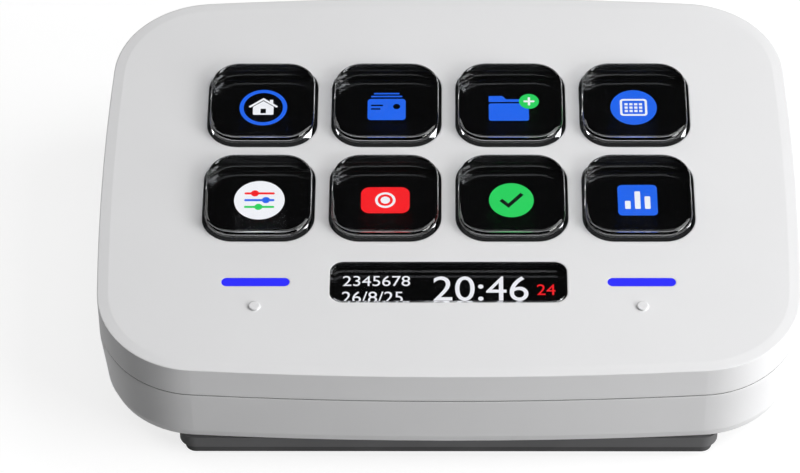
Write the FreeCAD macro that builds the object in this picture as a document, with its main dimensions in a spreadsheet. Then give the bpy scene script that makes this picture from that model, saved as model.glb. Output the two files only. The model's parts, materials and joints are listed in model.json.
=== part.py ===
import FreeCAD, Part
import math
import os
import re
import Sketcher

# A desk keypad: eight clear keys over one picture panel, an information window, two light bars
# and two touch points, in a two-part moulded housing on a rubber foot.
# Millimetres. X runs to the right, Y to the back and Z up, from the middle of the foot's underside.
# The face slopes down to the front. Pieces that follow it are drawn in the face frame, whose
# origin is the middle of the face, with x to the right, y up the slope and z out of the face.

SIZES = {
    # Housing form
    "rear_height": 26.3,
    "tilt": 5.0,
    "side_radius": 470.7,
    "front_radius": 607.0,
    "corner_radius": 15.6,
    "side_space": 11.3,
    "rim_width": 1.7,
    "rim_drop": 0.15,
    "cover_skirt": 5.15,
    "seam_gap": 0.15,
    "seam_land": 0.4,
    "wall": 2.0,
    "face_thickness": 1.8,
    "draft": 5.4,
    "base_height": 2.8,
    "base_round": 3.0,
    "floor": 2.0,
    "overrun": 1.0,
    "lip_gap": 0.1,
    "lip_thickness": 1.0,
    "lip_height": 1.8,
    # Foot, a broad step in the base's recess and a smaller one under it
    "foot_side": 12.75,
    "foot_end": 2.28,
    "foot_corner": 2.5,
    "foot_step": 1.8,
    "foot_inset": 0.8,
    "foot_gap": 0.1,
    "foot_recess": 1.0,
    # Keys
    "key_opening": 17.3,
    "key_web": 2.15,
    "key_corner": 4.8,
    "key_gap": 0.45,
    "key_rise": 1.6,
    "key_edge": 0.6,
    "opening_lip": 0.75,
    "rest_gap": 0.05,
    "flange_margin": 0.5,
    "flange_thickness": 0.55,
    "slide_gap": 0.15,
    "key_travel": 0.8,
    "press_gap": 0.02,
    # Information window
    "window_drop": 16.7,
    "window_width": 35.9,
    "window_depth": 8.06,
    "window_corner": 2.0,
    "window_gap": 0.08,
    "window_sink": 0.05,
    "window_edge": 0.3,
    "window_flange": 0.9,
    "window_flange_thickness": 0.7,
    # Light bars and touch points
    "bar_length": 10.36,
    "bar_width": 1.66,
    "bar_gap": 0.03,
    "bar_flange": 0.8,
    "bar_flange_thickness": 0.5,
    "touch_drop": 4.8,
    "touch_radius": 0.85,
    "touch_rise": 0.25,
    # Display panel, from the openings that it lies under
    "panel_side": 0.675,
    "panel_rear": 1.9,
    "panel_front": 2.47,
    "glass_thickness": 1.1,
    "glass_ledge": 3.0,
    "ledge_step": 0.5,
    "driver_depth": 1.0,
    "driver_width": 9.0,
    "backlight_thickness": 1.6,
    # Key mat and contact sheet
    "sheet_side": 2.8,
    "sheet_end": 1.1,
    "gasket_width": 1.9,
    "mat_thickness": 0.15,
    "bell_inset": 0.45,
    "bell_wall": 1.1,
    "bell_gap": 0.02,
    "contact_thickness": 0.1,
    "light_margin": 0.5,
    # Display frame and the cover's hooks
    "fit_gap": 0.2,
    "frame_wall": 0.8,
    "frame_floor": 1.2,
    "frame_opening_width": 30.0,
    "frame_opening_depth": 34.0,
    "frame_opening_web": 6.0,
    "notch_width": 15.0,
    "hook_span": 28.0,
    "hook_width": 8.0,
    "hook_thickness": 1.2,
    "hook_catch": 0.6,
    "hook_land": 0.4,
    "hook_gap": 0.15,
    # Screws, with their posts and bosses
    "screw_x": 34.0,
    "front_screw_border": 6.9,
    "rear_screw_border": 7.85,
    "screw_radius": 1.25,
    "screw_head": 2.2,
    "screw_head_height": 1.6,
    "screw_cover": 0.65,
    "screw_bite": 4.0,
    "thread_gap": 0.05,
    "clearance_gap": 0.2,
    "head_gap": 0.15,
    "hole_tip": 0.3,
    "boss_gap": 0.25,
    "boss_width": 4.8,
    "post_width": 6.6,
    "post_drop": 2.7,
    # Main board and its clips
    "board_width": 60.0,
    "board_depth": 40.6,
    "board_end_gap": 1.3,
    "board_thickness": 1.6,
    "board_notch": 1.4,
    "clip_inset": 4.5,
    "clip_width": 6.0,
    "support_width": 2.0,
    # Ballast plate
    "ballast_width": 79.0,
    "ballast_gap": 0.3,
    "ballast_thickness": 1.4,
    # Socket
    "port_width": 8.94,
    "port_height": 3.26,
    "port_corner": 1.45,
    "port_sheet": 0.3,
    "port_length": 7.3,
    "port_setback": 0.3,
    "port_gap": 0.3,
    "tongue_width": 6.7,
    "tongue_thickness": 0.7,
    "tongue_length": 5.8,
    # Ribbons and board parts
    "ribbon_x": 17.0,
    "ribbon_width": 12.0,
    "ribbon_thickness": 0.3,
    "ribbon_reach": 2.4,
    "ribbon_bend": 1.2,
    "connector_width": 14.0,
    "connector_depth": 4.5,
    "connector_height": 2.0,
    "connector_setback": 10.6,
    "parts_setback": 14.0,
    "controller_width": 9.0,
    "controller_height": 1.0,
    "memory_width": 6.0,
    "memory_depth": 5.0,
    "memory_x": 12.0,
    "inductor_width": 4.0,
    "inductor_height": 2.2,
    "inductor_x": 12.0,
}
COLUMNS = 4
ROWS = 2
WHOLE_TURN = 360
# How far out of a level plane an edge may seem to lie, because its box is a little too large.
LEVEL_SLACK = 0.01
# Where the main board lies: a share of the free height between the ballast and the display frame.
BOARD_SHARE = 0.305
# The base's round: shares of its radius drawn in, and still left above the base.
BASE_SHARES = ((0.0, 1.0), (0.134, 0.5), (0.5, 0.134), (1.0, 0.0))
# Directions straight up, seen from the face frame and from the level one.
UPRIGHT = ("0", "sin(tilt)", "cos(tilt)")
PLUMB = ("0", "0", "1")

# Places worked out from the sizes. Those named DEPTH run down from the face along its normal.
FLANGE_DEPTH = "(opening_lip + rest_gap + flange_thickness)"
MAT_DEPTH = f"({FLANGE_DEPTH} + key_travel + press_gap)"
CONTACT_DEPTH = f"({MAT_DEPTH} + mat_thickness)"
GLASS_DEPTH = f"({CONTACT_DEPTH} + contact_thickness)"
BACKLIGHT_DEPTH = f"({GLASS_DEPTH} + glass_thickness)"
FRAME_SEAT_DEPTH = f"({BACKLIGHT_DEPTH} + backlight_thickness)"
FRAME_DEPTH = f"({FRAME_SEAT_DEPTH} + frame_floor)"
SEAM_DEPTH = "(rim_drop + cover_skirt)"

# The length and width of the whole follow from what lies side by side under the face.
KEY_PITCH = "(key_opening + key_web)"
COLUMN_REACH = f"({KEY_PITCH} * {COLUMNS - 1} / 2)"
FRAME_MARGIN = "(fit_gap + frame_wall)"
GLASS_WIDTH = f"(2 * {COLUMN_REACH} + key_opening + 2 * panel_side)"
SHEET_WIDTH = f"({GLASS_WIDTH} + 2 * sheet_side)"
HALF_WIDTH = f"({SHEET_WIDTH} / 2 + {FRAME_MARGIN} + side_space)"
REAR_REACH = f"(key_opening / 2 + panel_rear + sheet_end + {FRAME_MARGIN})"
REAR_SPACE = f"(boss_gap + {FRAME_DEPTH} * sin(tilt) + boss_width / 2 + rear_screw_border)"
FRONT_REACH = f"(window_depth / 2 + panel_front + sheet_end + {FRAME_MARGIN})"
FRONT_SPACE = "(boss_gap + boss_width / 2 + front_screw_border)"
ROW_REACH = f"({KEY_PITCH} * {ROWS - 1})"
DEPTH = f"({REAR_REACH} + {REAR_SPACE} + {ROW_REACH} + window_drop + {FRONT_REACH} + {FRONT_SPACE})"
HALF_DEPTH = f"({DEPTH} / 2)"
SLOPE_HALF_DEPTH = f"({HALF_DEPTH} / cos(tilt))"
REAR_ROW = f"({HALF_DEPTH} - {REAR_REACH} - {REAR_SPACE})"
FRONT_ROW = f"({REAR_ROW} - {ROW_REACH})"
WINDOW_Y = f"({FRONT_ROW} - window_drop)"
TOUCH_Y = f"({WINDOW_Y} - touch_drop)"
GLASS_REAR = f"({REAR_ROW} + key_opening / 2 + panel_rear)"
GLASS_LENGTH = f"(key_opening / 2 + panel_rear + {ROW_REACH} + window_drop + window_depth / 2 + panel_front)"
PANEL_Y = f"({GLASS_REAR} - {GLASS_LENGTH} / 2)"
SHEET_LENGTH = f"({GLASS_LENGTH} + 2 * sheet_end)"
SHEET_REAR = f"({GLASS_REAR} + sheet_end)"
CAP_WIDTH = "(key_opening - 2 * key_gap)"
FLANGE_WIDTH = "(key_opening + 2 * flange_margin)"
BELL_WIDTH = f"({FLANGE_WIDTH} - 2 * bell_inset)"
PICTURE_WINDOW = f"({BELL_WIDTH} - 2 * bell_wall)"

# Heights above the desk, and what stands in the tub.
FACE_HEIGHT = f"(rear_height - {HALF_DEPTH} * tan(tilt) + rim_drop / cos(tilt))"
SEAM_MIDDLE = f"({FACE_HEIGHT} - ({SEAM_DEPTH} + seam_gap) / cos(tilt))"
DRAFT_TOP = f"({SEAM_MIDDLE} - {HALF_DEPTH} * tan(tilt) - seam_land)"
SEAM_RISE = f"(2 * {HALF_DEPTH} * tan(tilt) + seam_land)"
LIP_INSET = "(wall + lip_gap)"
HOLLOW_INSET = f"({LIP_INSET} + lip_thickness)"
FLOOR_TOP = "(base_height + floor)"
IN_FLOOR = "(base_height + floor / 2)"
FRONT_SCREW = f"(front_screw_border - {HALF_DEPTH})"
REAR_SCREW = f"({HALF_DEPTH} - rear_screw_border)"
SCREW_SEAT = "(base_height + foot_recess + screw_cover + screw_head_height)"
BOARD_BACK = f"({HALF_DEPTH} - {HOLLOW_INSET} - board_end_gap)"
BOARD_FRONT = f"({BOARD_BACK} - board_depth)"
FRONT_CLIP = f"({BOARD_FRONT} + clip_inset)"
REAR_CLIP = f"({BOARD_BACK} - clip_inset)"
NOTCH_X = "(board_width / 2 - board_notch)"
PARTS_Y = f"({BOARD_FRONT} + parts_setback)"
PARTS_CEILING = f"({FACE_HEIGHT} + ({PARTS_Y} - inductor_width / 2) * tan(tilt) - {FRAME_DEPTH} / cos(tilt))"
BALLAST_TOP = f"({FLOOR_TOP} + ballast_thickness)"
FREE_HEIGHT = f"({PARTS_CEILING} - inductor_height - board_thickness - {BALLAST_TOP})"
BOARD_BOTTOM = f"({BALLAST_TOP} + {FREE_HEIGHT} * {BOARD_SHARE})"
BOARD_TOP = f"({BOARD_BOTTOM} + board_thickness)"
CONNECTOR_BACK = f"({BOARD_BACK} - connector_setback)"
BALLAST_FRONT = f"({FRONT_SCREW} + post_width / 2 + ballast_gap)"
BALLAST_BACK = f"({REAR_CLIP} - clip_width / 2 - ballast_gap)"
PORT_MIDDLE = f"({BOARD_TOP} + port_height / 2)"
PORT_MOUTH = f"({HALF_DEPTH} - port_setback)"
SCREW_ROWS = (("front", FRONT_SCREW), ("rear", REAR_SCREW))

document = FreeCAD.newDocument("keypad")
sheet = document.addObject("Spreadsheet::Sheet", "Sizes")
for row, (alias, number) in enumerate(SIZES.items(), 1):
    sheet.set(f"A{row}", alias)
    sheet.set(f"B{row}", str(number))
    sheet.setAlias(f"B{row}", alias)
document.recompute()
subparts = []


def linked(text):
    """The expression with each size's name led by the sheet's."""
    return re.sub(r"[a-z_]+", lambda word: sheet.Name + "." + word[0] if word[0] in SIZES else word[0], text)


def value(text):
    return float(sheet.evalExpression(linked(text)))


def drive(thing, place, text):
    thing.setExpression(place, linked(text))


def vector(x=0, y=0, z=0):
    return FreeCAD.Vector(x, y, z)


def world_point(y, depth):
    """World y and z of a point of the face frame, as expressions."""
    return (
        f"({y} * cos(tilt) + {depth} * sin(tilt))",
        f"({FACE_HEIGHT} + {y} * sin(tilt) - {depth} * cos(tilt))",
    )


def face_point(y, z):
    """Face-frame y and z of a point given by its world y and z, as expressions."""
    rise = f"({z} - {FACE_HEIGHT})"
    return f"({y} * cos(tilt) + {rise} * sin(tilt))", f"({rise} * cos(tilt) - {y} * sin(tilt))"


def place(thing, x="0", y="0", z="0", tilted=False):
    """Binds a sub-part's Placement to the sizes, level or turned to the face."""
    if tilted:
        thing.Placement = FreeCAD.Placement(vector(), FreeCAD.Rotation(vector(1, 0, 0), value("tilt")))
        drive(thing, "Placement.Rotation.Angle", "tilt * 1 deg")
    for axis, text in zip("xyz", (x, y, z)):
        drive(thing, f"Placement.Base.{axis}", text)


def new_body(label, groups=False):
    body = document.addObject("PartDesign::Body", label)
    body.Label = label
    body.AllowCompound = groups
    subparts.append(body)
    return body


def face_body(label, x="0", y="0", groups=False):
    """A body drawn in the face frame, about the face point x, y."""
    body = new_body(label, groups)
    across, up = world_point(y, "0")
    place(body, x, across, up, tilted=True)
    return body


def new_sketch(body, name, x="0", y="0", z="0", plane="XY_Plane", turn=None):
    """A sketch on one of the body's own planes, moved and turned about its x axis."""
    support = next(p for p in body.Origin.OriginFeatures if p.Role == plane)
    sketch = body.newObject("Sketcher::SketchObject", name)
    sketch.AttachmentSupport = [(support, "")]
    sketch.MapMode = "FlatFace"
    if turn:
        turned = FreeCAD.Rotation(vector(1, 0, 0), value(turn))
        sketch.AttachmentOffset = FreeCAD.Placement(vector(), turned)
        drive(sketch, "AttachmentOffset.Rotation.Angle", turn + " * 1 deg")
    for axis, text in zip("xyz", (x, y, z)):
        drive(sketch, f"AttachmentOffset.Base.{axis}", text)
    return sketch


def hold(sketch, kind, *where):
    return sketch.addConstraint(Sketcher.Constraint(kind, *where))


def dimension(sketch, kind, *where):
    """A dimension whose last argument is the expression that drives it."""
    text = where[-1]
    index = hold(sketch, kind, *where[:-1], value(text))
    drive(sketch, f"Constraints[{index}]", text)


def arc(sketch, middle, radius, start, end):
    circle = Part.Circle(middle, vector(0, 0, 1), radius)
    return sketch.addGeometry(Part.ArcOfCircle(circle, start, end))


def circle(sketch, radius):
    ring = sketch.addGeometry(Part.Circle(vector(), vector(0, 0, 1), value(radius)))
    hold(sketch, "Coincident", ring, 3, -1, 1)
    dimension(sketch, "Radius", ring, radius)
    return sketch


def rectangle(sketch, width, depth):
    """Four lines square to each other about the sketch's origin."""
    x, y = value(width) / 2, value(depth) / 2
    corners = (vector(x, y), vector(-x, y), vector(-x, -y), vector(x, -y))
    count = len(corners)
    first = len(sketch.Geometry)
    for step in range(count):
        sketch.addGeometry(Part.LineSegment(corners[step], corners[(step + 1) % count]))
    for step in range(count):
        hold(sketch, "Coincident", first + step, 2, first + (step + 1) % count, 1)
    rear, left, front, right = range(first, first + count)
    for line in (rear, front):
        hold(sketch, "Horizontal", line)
    for line in (left, right):
        hold(sketch, "Vertical", line)
    hold(sketch, "Symmetric", rear, 1, left, 2, -1, 1)
    dimension(sketch, "DistanceX", rear, 2, rear, 1, width)
    dimension(sketch, "DistanceY", right, 1, right, 2, depth)
    return sketch


def rounded_rectangle(sketch, width, depth, corner):
    """Four lines and four equal corner arcs about the sketch's origin."""
    radius = value(corner)
    reach = vector(value(width) / 2, value(depth) / 2)
    inner = reach - vector(radius, radius)
    quarter = math.pi / 2
    signs = ((1, 1), (-1, 1), (-1, -1), (1, -1))
    first = len(sketch.Geometry)
    for turn, (x, y) in enumerate(signs):
        start = turn * quarter
        middle = vector(x * inner.x, y * inner.y)
        next_x, next_y = signs[(turn + 1) % 4]
        next_middle = vector(next_x * inner.x, next_y * inner.y)
        outward = vector(math.cos(start + quarter), math.sin(start + quarter)) * radius
        arc(sketch, middle, radius, start, start + quarter)
        sketch.addGeometry(Part.LineSegment(middle + outward, next_middle + outward))
    count = 8
    for step in range(count):
        hold(sketch, "Tangent", first + step, 2, first + (step + 1) % count, 1)
    rear, left, front, right = (first + n for n in (1, 3, 5, 7))
    for line in (rear, front):
        hold(sketch, "Horizontal", line)
    for line in (left, right):
        hold(sketch, "Vertical", line)
    for corner_arc in (2, 4, 6):
        hold(sketch, "Equal", first, first + corner_arc)
    hold(sketch, "Symmetric", first, 3, first + 4, 3, -1, 1)
    dimension(sketch, "Radius", first, corner)
    dimension(sketch, "DistanceX", left, 1, right, 1, width)
    dimension(sketch, "DistanceY", front, 1, rear, 1, depth)
    return sketch


def slot(sketch, length, width):
    """A straight slot with round ends, along x about the sketch's origin."""
    radius = value(width) / 2
    run = value(length) / 2 - radius
    half = math.pi / 2
    right = arc(sketch, vector(run), radius, -half, half)
    top = sketch.addGeometry(Part.LineSegment(vector(run, radius), vector(-run, radius)))
    left = arc(sketch, vector(-run), radius, half, 3 * half)
    bottom = sketch.addGeometry(Part.LineSegment(vector(-run, -radius), vector(run, -radius)))
    for one, other in ((right, top), (top, left), (left, bottom), (bottom, right)):
        hold(sketch, "Tangent", one, 2, other, 1)
    hold(sketch, "Horizontal", top)
    hold(sketch, "Equal", right, left)
    hold(sketch, "Symmetric", right, 3, left, 3, -1, 1)
    dimension(sketch, "Radius", right, f"{width} / 2")
    dimension(sketch, "DistanceX", left, 3, right, 3, f"{length} - {width}")
    return sketch


def bowed_outline(sketch, inset="0", half_y=SLOPE_HALF_DEPTH):
    """The housing's outline: four slightly bowed sides joined by four corner arcs."""
    side, front, turn = (f"({name} - {inset})" for name in ("side_radius", "front_radius", "corner_radius"))
    across, along = f"({HALF_WIDTH} - {inset})", f"({half_y} - {inset})"
    side_r, front_r, turn_r = value(side), value(front), value(turn)
    side_x, front_y = value(across) - side_r, value(along) - front_r
    reach_side, reach_front = side_r - turn_r, front_r - turn_r
    span = math.hypot(side_x, front_y)
    share = (reach_side**2 - reach_front**2 + span**2) / (2 * span)
    rise = math.sqrt(reach_side**2 - share**2)
    toward = vector(-side_x, front_y) / span
    middle = vector(side_x) + toward * share + vector(-toward.y, toward.x) * rise
    low = math.atan2(middle.y, middle.x - side_x)
    high = math.atan2(middle.y - front_y, middle.x)
    half = math.pi
    arcs = (
        (vector(side_x), side_r, -low, low),
        (middle, turn_r, low, high),
        (vector(0, front_y), front_r, high, half - high),
        (vector(-middle.x, middle.y), turn_r, half - high, half - low),
        (vector(-side_x), side_r, half - low, half + low),
        (-middle, turn_r, half + low, half + high),
        (vector(0, -front_y), front_r, half + high, 2 * half - high),
        (vector(middle.x, -middle.y), turn_r, 2 * half - high, 2 * half - low),
    )
    first = len(sketch.Geometry)
    for placed in arcs:
        arc(sketch, *placed)
    count = len(arcs)
    for step in range(count):
        hold(sketch, "Tangent", first + step, 2, first + (step + 1) % count, 1)
    right, rear, left, nearest = (first + n for n in (0, 2, 4, 6))
    for flat, axis in ((right, -1), (left, -1), (rear, -2), (nearest, -2)):
        hold(sketch, "PointOnObject", flat, 3, axis)
    for corner_arc in (3, 5, 7):
        hold(sketch, "Equal", first + 1, first + corner_arc)
    hold(sketch, "Equal", right, left)
    hold(sketch, "Equal", rear, nearest)
    dimension(sketch, "Radius", right, side)
    dimension(sketch, "Radius", rear, front)
    dimension(sketch, "Radius", first + 1, turn)
    dimension(sketch, "DistanceX", right, 3, -1, 1, f"{side} - {across}")
    dimension(sketch, "DistanceX", -1, 1, left, 3, f"{side} - {across}")
    dimension(sketch, "DistanceY", rear, 3, -1, 1, f"{front} - {along}")
    dimension(sketch, "DistanceY", -1, 1, nearest, 3, f"{front} - {along}")
    return sketch


def polygon(sketch, corners):
    """Straight lines through corners given as pairs of expressions from the sketch's origin."""
    points = [vector(value(x), value(y)) for x, y in corners]
    first = len(sketch.Geometry)
    count = len(points)
    for step in range(count):
        sketch.addGeometry(Part.LineSegment(points[step], points[(step + 1) % count]))
    for step in range(count):
        hold(sketch, "Coincident", first + step, 2, first + (step + 1) % count, 1)
    for step, (x, y) in enumerate(corners):
        dimension(sketch, "DistanceX", -1, 1, first + step, 1, x)
        dimension(sketch, "DistanceY", -1, 1, first + step, 1, y)
    return sketch


def extrude(kind, body, name, sketch, length, up, along):
    """A Pad or a Pocket to one side of the sketch plane, square to it or along a given direction."""
    feature = body.newObject(f"PartDesign::{kind}", name)
    feature.Profile = sketch
    if along:
        feature.UseCustomVector = True
        feature.AlongSketchNormal = True
        feature.Direction = vector(*(value(text) for text in along))
        for axis, text in zip("xyz", along):
            drive(feature, f"Direction.{axis}", text)
    square_pocket = kind == "Pocket" and not along
    feature.Reversed = up if square_pocket else not up
    drive(feature, "Length", length)
    return feature


def pad(body, name, sketch, length, up=True, along=None):
    return extrude("Pad", body, name, sketch, length, up, along)


def pocket(body, name, sketch, length, up=True, along=None):
    return extrude("Pocket", body, name, sketch, length, up, along)


def repeat(body, name, features, sketch, columns=1, pitch_x="0", rows=1, pitch_y="0"):
    """Copies features in steps along the sketch's two axes."""
    pattern = body.newObject("PartDesign::LinearPattern", name)
    pattern.Originals = features
    pattern.Direction = (sketch, ["H_Axis"])
    pattern.Direction2 = (sketch, ["V_Axis"])
    pattern.Occurrences = columns
    pattern.Occurrences2 = rows
    if columns > 1:
        drive(pattern, "Length", f"{pitch_x} * {columns - 1}")
    if rows > 1:
        drive(pattern, "Length2", f"{pitch_y} * {rows - 1}")
    body.Tip = pattern
    return pattern


def keys_repeat(body, name, features, sketch):
    return repeat(body, name, features, sketch, COLUMNS, KEY_PITCH, ROWS, KEY_PITCH)


def pair_repeat(body, name, features, sketch, half_span):
    return repeat(body, name, features, sketch, 2, f"(2 * {half_span})")


def four_repeat(body, name, features, sketch, half_x, pitch_y):
    return repeat(body, name, features, sketch, 2, f"(2 * {half_x})", 2, pitch_y)


def edges_at(feature, level):
    """Names of the feature's edges that lie in the plane z = level of the body."""
    document.recompute()
    height = value(level)
    names = []
    for index, edge in enumerate(feature.Shape.Edges, 1):
        box = edge.BoundBox
        if abs(box.ZMin - height) < LEVEL_SLACK and abs(box.ZMax - height) < LEVEL_SLACK:
            names.append(f"Edge{index}")
    return names


def bevel(body, name, feature, level, size):
    """Cuts off every edge of the feature at one level."""
    edges = edges_at(feature, level)
    cut = body.newObject("PartDesign::Chamfer", name)
    cut.Base = (feature, edges)
    drive(cut, "Size", size)
    return cut


def loft(body, name, profile, sections):
    feature = body.newObject("PartDesign::AdditiveLoft", name)
    feature.Profile = profile
    feature.Sections = sections
    feature.Ruled = True
    return feature


def hook_outline(sketch, side, start, face, root, catch, away):
    """A snap hook's profile: up from its root along a face, with a catch beyond what it holds."""
    outer = f"({face} + hook_thickness)"
    tip = f"({face} - hook_gap - hook_catch)"
    land = f"({catch} {away} hook_land)"
    end = f"({land} {away} hook_catch)"
    corners = [*start, (outer, root), (outer, end), (face, end), (tip, land), (tip, catch), (face, catch)]
    return polygon(sketch, [(f"{side}{x}", z) for x, z in corners])


def block(label, width, depth, height, x="0", y="0", z="0"):
    """A level plate or block, standing on the height z."""
    body = new_body(label)
    outline = rectangle(new_sketch(body, f"{label}_outline", x, y, z), width, depth)
    pad(body, f"{label}_block", outline, height)
    return body


def cover_shell(body):
    """The cover's skin: upright wall and sloping face with a soft rim."""
    rim_y = "(-rim_drop * tan(tilt))"
    edge = bowed_outline(new_sketch(body, "cover_outline", y=rim_y, z="-rim_drop"))
    pad(body, "cover_skirt_block", edge, "cover_skirt", up=False, along=UPRIGHT)
    ring = bowed_outline(new_sketch(body, "cover_rim_section", y=rim_y), inset="rim_width")
    loft(body, "cover_rim", edge, [ring])
    seam_y = f"(-{SEAM_DEPTH} * tan(tilt))"
    inside = bowed_outline(new_sketch(body, "cover_inside", y=seam_y, z=f"-{SEAM_DEPTH}"), inset="wall")
    pocket(body, "cover_hollow", inside, f"{SEAM_DEPTH} - face_thickness", along=UPRIGHT)


def cover_openings(body):
    """Stepped openings that hold the keys, the window and the light bars in from below."""
    first = (f"-{COLUMN_REACH}", FRONT_ROW)
    under = "-face_thickness"
    hole = new_sketch(body, "key_hole_outline", *first)
    rounded_rectangle(hole, "key_opening", "key_opening", "key_corner")
    key_hole = pocket(body, "key_hole", hole, "face_thickness", up=False)
    room = f"({FLANGE_WIDTH} + 2 * slide_gap)"
    ledge = rectangle(new_sketch(body, "key_ledge_outline", *first, under), room, room)
    key_ledge = pocket(body, "key_ledge", ledge, "face_thickness - opening_lip")
    keys_repeat(body, "key_holes", [key_hole, key_ledge], hole)
    window = new_sketch(body, "window_hole_outline", y=WINDOW_Y)
    rounded_rectangle(window, "window_width", "window_depth", "window_corner")
    pocket(body, "window_hole", window, "face_thickness", up=False)
    seat = new_sketch(body, "window_seat_outline", y=WINDOW_Y, z=under)
    rectangle(seat, "(window_width + 2 * window_flange)", "(window_depth + 2 * window_flange)")
    pocket(body, "window_seat", seat, "window_flange_thickness")
    bar = slot(new_sketch(body, "bar_hole_outline", f"-{COLUMN_REACH}", WINDOW_Y), "bar_length", "bar_width")
    bar_hole = pocket(body, "bar_hole", bar, "face_thickness", up=False)
    rest = new_sketch(body, "bar_seat_outline", f"-{COLUMN_REACH}", WINDOW_Y, under)
    rectangle(rest, "(bar_length + 2 * bar_flange)", "(bar_width + 2 * bar_flange)")
    bar_seat = pocket(body, "bar_seat", rest, "bar_flange_thickness")
    pair_repeat(body, "bar_holes", [bar_hole, bar_seat], bar, COLUMN_REACH)


def cover_touch_points(body):
    """Two low raised dots that a fingertip finds, over the touch electrodes."""
    dot = circle(new_sketch(body, "touch_dot_outline", f"-{COLUMN_REACH}", TOUCH_Y), "touch_radius")
    low = pad(body, "touch_dot", dot, "touch_rise")
    pair_repeat(body, "touch_dots", [low], dot, COLUMN_REACH)


def post_top(y):
    """The level where a screw post of the lower housing meets the cover's boss."""
    return f"({SEAM_MIDDLE} + {y} * tan(tilt) - post_drop)"


def cover_bosses(body):
    """Four upright bosses, each with a square pilot whose walls the screw's thread cuts into."""
    for end, y in SCREW_ROWS:
        bottom = post_top(y)
        slope_y, slope_z = face_point(y, bottom)
        middle = f"({FACE_HEIGHT} + {y} * tan(tilt) - face_thickness / 2 / cos(tilt))"
        where = ("-screw_x", slope_y, slope_z)
        outline = new_sketch(body, f"{end}_boss_outline", *where, turn="-tilt")
        boss = rectangle(outline, "boss_width", "boss_width")
        upright = pad(body, f"{end}_boss", boss, f"{middle} - {bottom}")
        pair_repeat(body, f"{end}_bosses", [upright], boss, "screw_x")
        pilot = new_sketch(body, f"{end}_pilot_outline", *where, turn="-tilt")
        rectangle(pilot, *["(2 * (screw_radius + thread_gap))"] * 2)
        hole = pocket(body, f"{end}_pilot", pilot, "screw_bite + hole_tip")
        pair_repeat(body, f"{end}_pilots", [hole], pilot, "screw_x")


def cover_hooks(body):
    """Four snap hooks that hold the display frame up against the face."""
    face = f"({SHEET_WIDTH} / 2 + {FRAME_MARGIN} + hook_gap)"
    root, catch = "(-face_thickness / 2)", f"(-{FRAME_DEPTH} - rest_gap)"
    rows = new_sketch(body, "hook_rows", y=PANEL_Y, z=root)
    near = f"-({PANEL_Y} - hook_span / 2 + hook_width / 2)"
    for side, sign in (("left", "-"), ("right", "")):
        profile = new_sketch(body, f"{side}_hook_profile", z=near, plane="XZ_Plane")
        hook_outline(profile, sign, [(face, root)], face, root, catch, "-")
        hook = pad(body, f"{side}_hook", profile, "hook_width")
        repeat(body, f"{side}_hooks", [hook], rows, rows=2, pitch_y="hook_span")


def top_cover():
    """The moulded cover: sloping face, stepped openings, touch dots, screw bosses and hooks."""
    body = face_body("top_cover")
    cover_shell(body)
    cover_bosses(body)
    cover_hooks(body)
    cover_touch_points(body)
    cover_openings(body)


def tub_form(body):
    """The tub's outside: upright under the sloping seam, drawn in below it and rounded into its base."""
    top = bowed_outline(new_sketch(body, "tub_outline", z=DRAFT_TOP), half_y=HALF_DEPTH)
    pad(body, "tub_band", top, f"{SEAM_RISE} + overrun")
    sections = []
    for inset_share, height_share in BASE_SHARES:
        level = f"(base_height + base_round * {height_share})"
        inset = f"(({DRAFT_TOP} - {level}) * tan(draft) + base_round * {inset_share})"
        sections.append(bowed_outline(new_sketch(body, "tub_section", z=level), inset, HALF_DEPTH))
    loft(body, "tub_wall", top, sections)
    above = new_sketch(body, "seam_cut_outline", z=SEAM_MIDDLE, turn="tilt")
    rectangle(above, f"(2 * ({HALF_WIDTH} + overrun))", f"(2 * ({SLOPE_HALF_DEPTH} + overrun))")
    pocket(body, "seam_cut", above, f"{SEAM_RISE} + 2 * overrun")


def tub_inside(body):
    """The lip that locates the cover, the hollow, and the recess that holds the foot."""
    lip = bowed_outline(new_sketch(body, "lip_outline", z=SEAM_MIDDLE, turn="tilt"), LIP_INSET)
    pad(body, "lip", lip, "lip_height", along=PLUMB)
    hollow = bowed_outline(new_sketch(body, "hollow_outline", z=FLOOR_TOP), HOLLOW_INSET, HALF_DEPTH)
    pocket(body, "tub_hollow", hollow, f"{DRAFT_TOP} + {SEAM_RISE} + lip_height + overrun - {FLOOR_TOP}")
    recess = foot_outline(new_sketch(body, "foot_recess_outline", z="base_height"), "(-foot_gap)")
    pocket(body, "foot_recess_cut", recess, "foot_recess")


def foot_outline(sketch, inset):
    """The foot's outline, drawn in by the inset."""
    width = f"(2 * ({HALF_WIDTH} - foot_side - {inset}))"
    length = f"(2 * ({HALF_DEPTH} - foot_end - {inset}))"
    return rounded_rectangle(sketch, width, length, f"(foot_corner - {inset})")


def housing_posts(body):
    """Screw posts beside the walls, entered from below through the floor."""
    for end, y in SCREW_ROWS:
        top = post_top(y)
        where = ("-screw_x", y)
        post = new_sketch(body, f"{end}_post_outline", *where, IN_FLOOR)
        rectangle(post, "post_width", "post_width")
        upright = pad(body, f"{end}_post", post, f"{top} - {IN_FLOOR}")
        pair_repeat(body, f"{end}_posts", [upright], post, "screw_x")
        room = "(2 * (screw_head + head_gap))"
        bore = rectangle(new_sketch(body, f"{end}_head_outline", *where), room, room)
        head = pocket(body, f"{end}_head_bore", bore, SCREW_SEAT)
        pass_width = "(2 * (screw_radius + clearance_gap))"
        hole = rectangle(new_sketch(body, f"{end}_shank_outline", *where), pass_width, pass_width)
        shank = pocket(body, f"{end}_shank_bore", hole, top)
        pair_repeat(body, f"{end}_bores", [head, shank], bore, "screw_x")


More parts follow.
